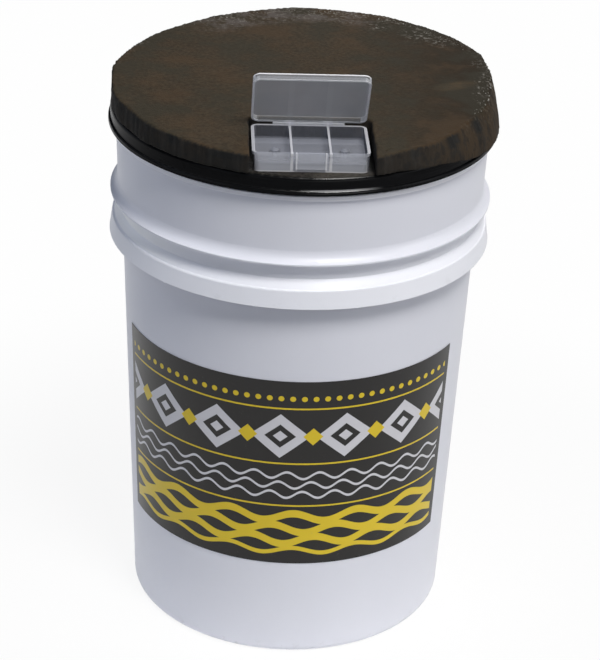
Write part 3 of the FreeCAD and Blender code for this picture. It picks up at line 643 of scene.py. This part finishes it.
# how the knife went round the pad: lists go by the angle in degrees from the right, towards the back
# a ripple is its height, its waves per millimetre across and up, and a seed
padCut = {"wavy": (0.9, 0.021, 0.0, 3.1), "flute": (0.5, 0.22, 0.03, 0.0), "scallop": (2.4, 0.055, 0.06, 9.0),
          "fray": (0.8, 0.3, 0.3, 0.0), "uneven": (0.35, 0.017, 0.0, 7.7), "crumb": (0.7, 0.22, 0.0, 1.3),
          "hem": (1.6, 0.09, 0.0, 4.4), "cluster": (1.7, 0.045, 0.0, 5.5), "patches": (2.4, 0.06, 0.0, 2.2),
          "lean": ((-82, 0), (-62, 3), (-28, 9), (-8, 8), (6, 4), (20, 0)), "leanReach": 28,
          "droop": ((-62, 0), (-50, 2), (-38, 8), (-26, 12), (0, 12), (16, 6), (32, 0)),
          "lip": 1.2, "lidRadius": 155.4, "fullPush": 2,
          "ragged": ((-80, 0.4), (-60, 1), (15, 0.8), (40, 0.3), (120, 0.3), (150, 0)),
          "torn": ((-42, 0), (-20, 0.8), (0, 1), (40, 1), (70, 0.9), (135, 0.7), (165, 0.4), (175, 0)),
          "tornInset": ((8, 0), (22, 5), (60, 8), (90, 6), (140, 1)), "tornWidth": 4.0, "tornReach": 45,
          "tornSpots": ((78, 142, 9), (66, 122, 7), (100, 101, 11), (92, 108, 6), (118, 87, 9), (145, 39, 6),
                        (147, 14, 4), (146, 0, 6), (143, -14, 4), (141, -26, 5), (140, -40, 4)),
          "tornMean": 0.65, "tornLeast": 0.1, "tornFall": 3, "fleckFall": 4, "fleckStrength": 1.3,
          "worn": ((58, 0), (74, 1), (116, 1), (132, 0)), "wornDepth": 40, "wornFade": 16,
          "wornFlecks": 0.5,
          "brown": ((-74, 0.2), (-56, 0.4), (-46, 0.9), (-25, 1), (60, 1), (85, 0)),
          "brownMean": 0.9, "brownLeast": 0.1,
          # the next line also holds the painted shadow along the fold at the right front
          "foldShade": ((-60, 1), (-28, 1), (-12, 0.2)), "foldShadeLevel": 0.6, "foldShadeBelow": 0.3,
          "edgeReach": 6.0, "notchCalm": 0.2, "sharp": 1.8, "sharpen": 0.8}


def outlineTree(points):
    # finds the nearest outline point for any place on the pad, with each point's outward direction
    tree = KDTree(len(points))
    outward = []
    count = len(points)
    for index, (x, y) in enumerate(points):
        before, after = points[index - 1], points[(index + 1) % count]
        outward.append(Vector((after[1] - before[1], before[0] - after[0], 0)).normalized())
        tree.insert((x, y, 0), index)
    tree.balance()
    return tree, outward


def along(angle, table):
    # value between the listed angles, and the end values outside them
    if angle <= table[0][0]:
        return table[0][1]
    for (start, low), (end, high) in zip(table, table[1:]):
        if angle <= end:
            return low + (high - low) * (angle - start) / (end - start)
    return table[-1][1]


def clamp(value, low, high):
    return min(max(value, low), high)


def ripple(spot, wave):
    height, across, up, seed = wave
    return height * noise.noise(Vector((spot.x * across, spot.y * across, spot.z * up + seed)))


def findSpot(place, tree, settings, cut):
    # where a point lies: how far from the outline, on the top skin, on the cut side or inside the notch
    x, y, z = place
    _, index, away = tree.find((x, y, 0))
    cx, cy = settings["middle"]
    top = padTop(settings, y)
    thickness = top - settings["bottom"]
    depth = top - z
    upper = depth < thickness / 2
    onTop = upper and (depth < away or away > cut["sharp"] * 2)
    if onTop:
        z = top
        depth = 0.0
    margin = settings["notchMargin"]
    beside = settings["notchLeft"] - margin < x < settings["notchRight"] + margin
    return SimpleNamespace(x=x, y=y, z=z, index=index, away=away, depth=depth, upper=upper, onTop=onTop,
                           onSide=not onTop and away < cut["sharp"] * 2,
                           inNotch=beside and y < settings["notchBack"] + margin,
                           level=clamp(1 - depth / thickness, 0.0, 1.0),
                           angle=math.degrees(math.atan2(y - cy, x - cx)))


def cutPlace(spot, out, cut):
    # the point's place after the knife: waves, a leaning side, and a hem that hangs over the lid
    calm = cut["notchCalm"] if spot.inNotch else 1.0
    lean, ragged, droop = (0.0 if spot.inNotch else along(spot.angle, cut[name])
                           for name in ("lean", "ragged", "droop"))
    nearEdge = math.exp(-((spot.away / cut["edgeReach"]) ** 2))
    rough = (ripple(spot, cut["scallop"]) + ripple(spot, cut["fray"])) * ragged
    shift = (ripple(spot, cut["wavy"]) + ripple(spot, cut["flute"]) + rough) * calm * nearEdge
    shift -= lean * spot.level * max(1 - spot.away / cut["leanReach"], 0.0)
    place = Vector((spot.x, spot.y, spot.z)) + out * shift
    if spot.onSide and droop > 0:
        clear = cut["lidRadius"] + cut["lip"] * (1 - spot.away / (cut["sharp"] * 2))
        push = max(clear - math.hypot(place.x, place.y), 0.0) * min(droop / cut["fullPush"], 1.0)
        place += out * push * (1 - spot.level)
        place.z -= droop * (1 - spot.level)
    if spot.onSide and spot.upper and spot.depth < cut["sharp"]:
        place += out * spot.away * cut["sharpen"]
    if spot.onTop:
        place.z += ripple(spot, cut["uneven"]) + ripple(spot, cut["crumb"]) * ragged * nearEdge
    elif spot.onSide:
        place.z += max(ripple(spot, cut["hem"]) * ragged * (1 - spot.level), 0.0)
    return place


def foamShares(spot, cut):
    # how far the point shows cut foam, brown foam with a painted fold shadow, torn flecks and worn skin
    worn = along(spot.angle, cut["worn"]) * clamp((cut["wornDepth"] - spot.away) / cut["wornFade"], 0.0, 1.0)
    inset, width = along(spot.angle, cut["tornInset"]), cut["tornWidth"]
    if spot.onTop:
        band = math.exp(-(((spot.away - inset) / width) ** 2))
    else:
        band = spot.level ** cut["tornFall"] * math.exp(-((inset / width) ** 2))
    torn = 0.0 if spot.inNotch else along(spot.angle, cut["torn"])
    torn *= band * clamp(cut["tornMean"] + ripple(spot, cut["cluster"]), cut["tornLeast"], 1.0)
    flecks = max(math.exp(-((spot.x - x) ** 2 + (spot.y - y) ** 2) / size ** 2)
                 for x, y, size in cut["tornSpots"])
    flecks *= 1.0 if spot.onTop else spot.level ** cut["fleckFall"]
    torn = max(torn, worn * cut["wornFlecks"], flecks * cut["fleckStrength"])
    # painted shadow: along the fold at the right front, in the upper part of the cut side, a ripple breaks
    # the brown into ragged dark patches
    foldShade = along(spot.angle, cut["foldShade"]) * (1 if spot.level > cut["foldShadeLevel"] else cut["foldShadeBelow"])
    brown = clamp(cut["brownMean"] - ripple(spot, cut["patches"]) * foldShade, cut["brownLeast"], 1.0)
    return {"cutShare": 1.0 if spot.onSide else 0.0,
            "brownShare": along(spot.angle, cut["brown"]) * brown,
            "tornShare": torn if spot.away < cut["tornReach"] else 0.0,
            "wornShare": worn if spot.onTop else worn * spot.level}


def shapePad(mesh, points, settings, cut):
    tree, outward = outlineTree(points)
    names = ("cutShare", "brownShare", "tornShare", "wornShare")
    shares = {name: mesh.attributes.new(name, "FLOAT", "POINT").data for name in names}
    for vertex in mesh.vertices:
        spot = findSpot(vertex.co * 1000, tree, settings, cut)
        vertex.co = cutPlace(spot, outward[spot.index], cut) / 1000
        for name, value in foamShares(spot, cut).items():
            shares[name][vertex.index].value = value
    mesh.polygons.foreach_set("use_smooth", [True] * len(mesh.polygons))
    mesh.update()


# foam: a brown skin with darker, greener and redder patches, and a darker cut side with pale flecks
# the smudge is its middle across and in depth, its slant in radians, its length and its width
foamFinish = {"skin": (0.0298, 0.0212, 0.0126), "skinPale": (0.0610, 0.0447, 0.0280),
              "skinDark": (0.0245, 0.0170, 0.0098), "skinGreen": (0.0330, 0.0315, 0.0225),
              "skinRed": (0.0700, 0.0430, 0.0230), "haze": (0.125, 0.110, 0.105),
              "smudge": (0.085, 0.058, 0.031), "smudgePlace": (0.119, -0.009, 0.46, 0.026, 0.011),
              "smudgeFade": (0.1, 1.0), "smudgeMottle": (0.35, 0.65),
              "cut": (0.0100, 0.0108, 0.0112), "cutPale": (0.026, 0.0255, 0.0245),
              "brown": (0.042, 0.030, 0.0195), "fleck": (0.24, 0.225, 0.20), "darkSide": (0.02, 0.15),
              "poreScale": 900.0, "grainCloud": (720.0, 3.0), "broadCloud": (11.0, 3.0),
              "mottleCloud": (95.0, 4.0, 0.6), "fineCloud": (330.0, 3.0, 0.6), "patchCloud": (19.0, 4.0, 0.6),
              "patchPlace": (3.0, 1.0, 0.0), "greenPatch": (0.48, 0.62), "redPatch": (0.38, 0.50),
              "blotchCloud": (62.0, 4.0, 0.65), "blotch": (0.42, 0.62),
              "streakCloud": (170.0, 3.0, 0.6), "streakStretch": (1.0, 1.0, 0.12), "streak": (0.42, 0.66),
              "ragCloud": (150.0, 4.0, 0.7), "ragStretch": (1.0, 1.0, 0.6), "rag": (0.47, 0.60),
              "shredCloud": (330.0, 4.0, 0.65), "shred": (0.53, 0.62), "roughness": 0.66,
              "bump": (0.35, 0.0007), "specular": 0.12}


def smudgeMask(finish, settings, across, depth, mottle):
    middleX, middleY, slant, length, width = settings["smudgePlace"]
    lengthways = ((across - middleX) * math.cos(slant) + (depth - middleY) * math.sin(slant)) / length
    sideways = ((depth - middleY) * math.cos(slant) - (across - middleX) * math.sin(slant)) / width
    away = (lengthways * lengthways + sideways * sideways).math("SQRT")
    mask = 1.0 - finish.step(away, *settings["smudgeFade"])
    return mask * (0.4 + finish.step(mottle, *settings["smudgeMottle"]) * 0.6)


def makeFoamFinish(settings):
    finish = Finish("padFoam")
    cutShare, brownShare, tornShare, wornShare = (
        finish.add("ShaderNodeAttribute", {"attribute_name": name}, out="Fac")
        for name in ("cutShare", "brownShare", "tornShare", "wornShare"))
    across, depth, _ = finish.axes()
    broad, mottle, grain, fine = (finish.cloud(*settings[name]) for name in
                                  ("broadCloud", "mottleCloud", "grainCloud", "fineCloud"))
    pores = finish.add("ShaderNodeTexVoronoi", {"feature": "F1"},
                       {"Vector": finish.place, "Scale": settings["poreScale"]})
    patch = finish.cloud(*settings["patchCloud"], place=finish.mapped(location=settings["patchPlace"]))
    paleShare = broad * 0.4 + mottle * 0.4 + (fine - 0.5) * 2.2 + 0.15
    skin = finish.mix(settings["skin"], settings["skinPale"], paleShare)
    skin = finish.mix(skin, settings["skinDark"], finish.step(across, *settings["darkSide"]))
    skin = finish.mix(skin, settings["skinGreen"], finish.step(patch, *settings["greenPatch"]) * 0.55)
    skin = finish.mix(skin, settings["skinRed"], (1.0 - finish.step(patch, *settings["redPatch"])) * 0.45)
    skin = finish.mix(skin, settings["smudge"], smudgeMask(finish, settings, across, depth, mottle) * 0.8)
    blotch = finish.step(finish.cloud(*settings["blotchCloud"]), *settings["blotch"])
    skin = finish.mix(skin, settings["haze"], wornShare * blotch * 0.6)
    streak = finish.cloud(*settings["streakCloud"], place=finish.mapped(settings["streakStretch"]))
    streak = finish.step(streak, *settings["streak"])
    side = finish.mix(settings["cut"], settings["cutPale"], streak * 0.55 + mottle * 0.2)
    rag = finish.cloud(*settings["ragCloud"], place=finish.mapped(settings["ragStretch"]))
    rag = finish.step(rag, *settings["rag"])
    side = finish.mix(side, settings["brown"], brownShare * (1.15 - rag * 0.65))
    colour = finish.mix(skin, side, cutShare)
    shred = finish.step(finish.cloud(*settings["shredCloud"]), *settings["shred"]) * tornShare
    colour = finish.mix(colour, settings["fleck"], shred * 0.75)
    rough = settings["roughness"] + mottle * 0.2 + cutShare * 0.12
    height = pores * 0.5 + grain * 0.6 + mottle * 0.8 + shred * 1.2 + streak * cutShare * 0.8
    return finish.surface(Base_Color=colour, Roughness=rough, Normal=finish.bump(height, *settings["bump"]),
                          Specular_IOR_Level=settings["specular"])


shapePad(padSkin, padLine, padSettings, padCut)
padSkin.materials.clear()
padSkin.materials.append(makeFoamFinish(foamFinish))
seatPad = bpy.data.objects.new("seatPadFoam", padSkin)
scene.collection.objects.link(seatPad)
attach(seatPad, "seat")
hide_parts("seat_pad")
print("pad shaped")

# torn shreds along the pad's upper edge at the back and right: sizes in metres, angles in degrees,
# inset and sunk in millimetres
shredSettings = {"Count": 260, "Size": 0.0008, "Spread": 0.0026, "Seed": 11, "from": -30.0, "to": 140.0,
                 "inset": 2.0, "sunk": 0.5, "wander": ((-1.0, -1.0, -0.15), (1.0, 1.0, 0.05)),
                 "turn": ((0.0, 0.0, 0.0), (6.28, 6.28, 6.28)),
                 "stretch": ((0.35, 0.35, 0.2), (1.7, 1.2, 0.7))}


def makeShredTree(settings, material):
    tree = bpy.data.node_groups.new("foamShreds", "GeometryNodeTree")
    kinds = {"Geometry": "NodeSocketGeometry", "Count": "NodeSocketInt", "Size": "NodeSocketFloat",
             "Spread": "NodeSocketFloat", "Seed": "NodeSocketInt"}
    sockets = {name: tree.interface.new_socket(name, in_out="INPUT", socket_type=kind)
               for name, kind in kinds.items()}
    tree.interface.new_socket("Geometry", in_out="OUTPUT", socket_type="NodeSocketGeometry")
    graph = Graph(tree)
    entry = graph.add("NodeGroupInput").socket.node
    path, count, size, spread, seed = (Wire(graph, entry.outputs[name]) for name in kinds)

    def chance(name, seedWire):
        low, high = settings[name]
        return graph.add("FunctionNodeRandomValue", {"data_type": "FLOAT_VECTOR"},
                         {0: low, 1: high, "Seed": seedWire})

    curve = graph.add("GeometryNodeMeshToCurve", None, {0: path})
    points = graph.add("GeometryNodeCurveToPoints", {"mode": "COUNT"}, {"Curve": curve, "Count": count})
    offset = graph.add("ShaderNodeVectorMath", {"operation": "SCALE"},
                       {0: chance("wander", seed), "Scale": spread})
    strewn = graph.add("GeometryNodeSetPosition", None, {"Geometry": points, "Offset": offset})
    grain = graph.add("GeometryNodeMeshIcoSphere", None, {"Radius": size, "Subdivisions": 1})
    shreds = graph.add("GeometryNodeInstanceOnPoints", None,
                       {"Points": strewn, "Instance": grain, "Rotation": chance("turn", seed + 1),
                        "Scale": chance("stretch", seed + 2)})
    solid = graph.add("GeometryNodeRealizeInstances", None, {0: shreds})
    coloured = graph.add("GeometryNodeSetMaterial", None, {"Geometry": solid, "Material": material})
    graph.add("NodeGroupOutput", None, {0: coloured})
    return tree, sockets


def shredPath(settings, pad, cut, points):
    _, outward = outlineTree(points)
    cx, cy = pad["middle"]
    path = []
    for (x, y), out in zip(points, outward):
        angle = math.degrees(math.atan2(y - cy, x - cx))
        if settings["from"] < angle < settings["to"]:
            inset = settings["inset"] + along(angle, cut["lean"]) + along(angle, cut["tornInset"])
            spot = Vector((x, y, 0)) - out * inset
            path.append((spot.x / 1000, spot.y / 1000, (padTop(pad, spot.y) - settings["sunk"]) / 1000))
    return path


def makeShreds(settings, path, material):
    mesh = bpy.data.meshes.new("shredPath")
    mesh.from_pydata(path, [(index, index + 1) for index in range(len(path) - 1)], [])
    holder = bpy.data.objects.new("shredPath", mesh)
    scene.collection.objects.link(holder)
    tree, sockets = makeShredTree(settings, material)
    modifier = holder.modifiers.new("foamShreds", "NODES")
    modifier.node_group = tree
    for name in ("Count", "Size", "Spread", "Seed"):
        modifier[sockets[name].identifier] = settings[name]
    evaluated = holder.evaluated_get(bpy.context.evaluated_depsgraph_get())
    made = bpy.data.meshes.new_from_object(evaluated)
    bpy.data.objects.remove(holder)
    made.name = "padShreds"
    shreds = bpy.data.objects.new("padShreds", made)
    scene.collection.objects.link(shreds)
    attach(shreds, "seat")
    print("shreds made:", len(made.polygons), "faces")


makeShreds(shredSettings, shredPath(shredSettings, padSettings, padCut, padLine),
           makePlainFinish(shredFinish, plainFinish))
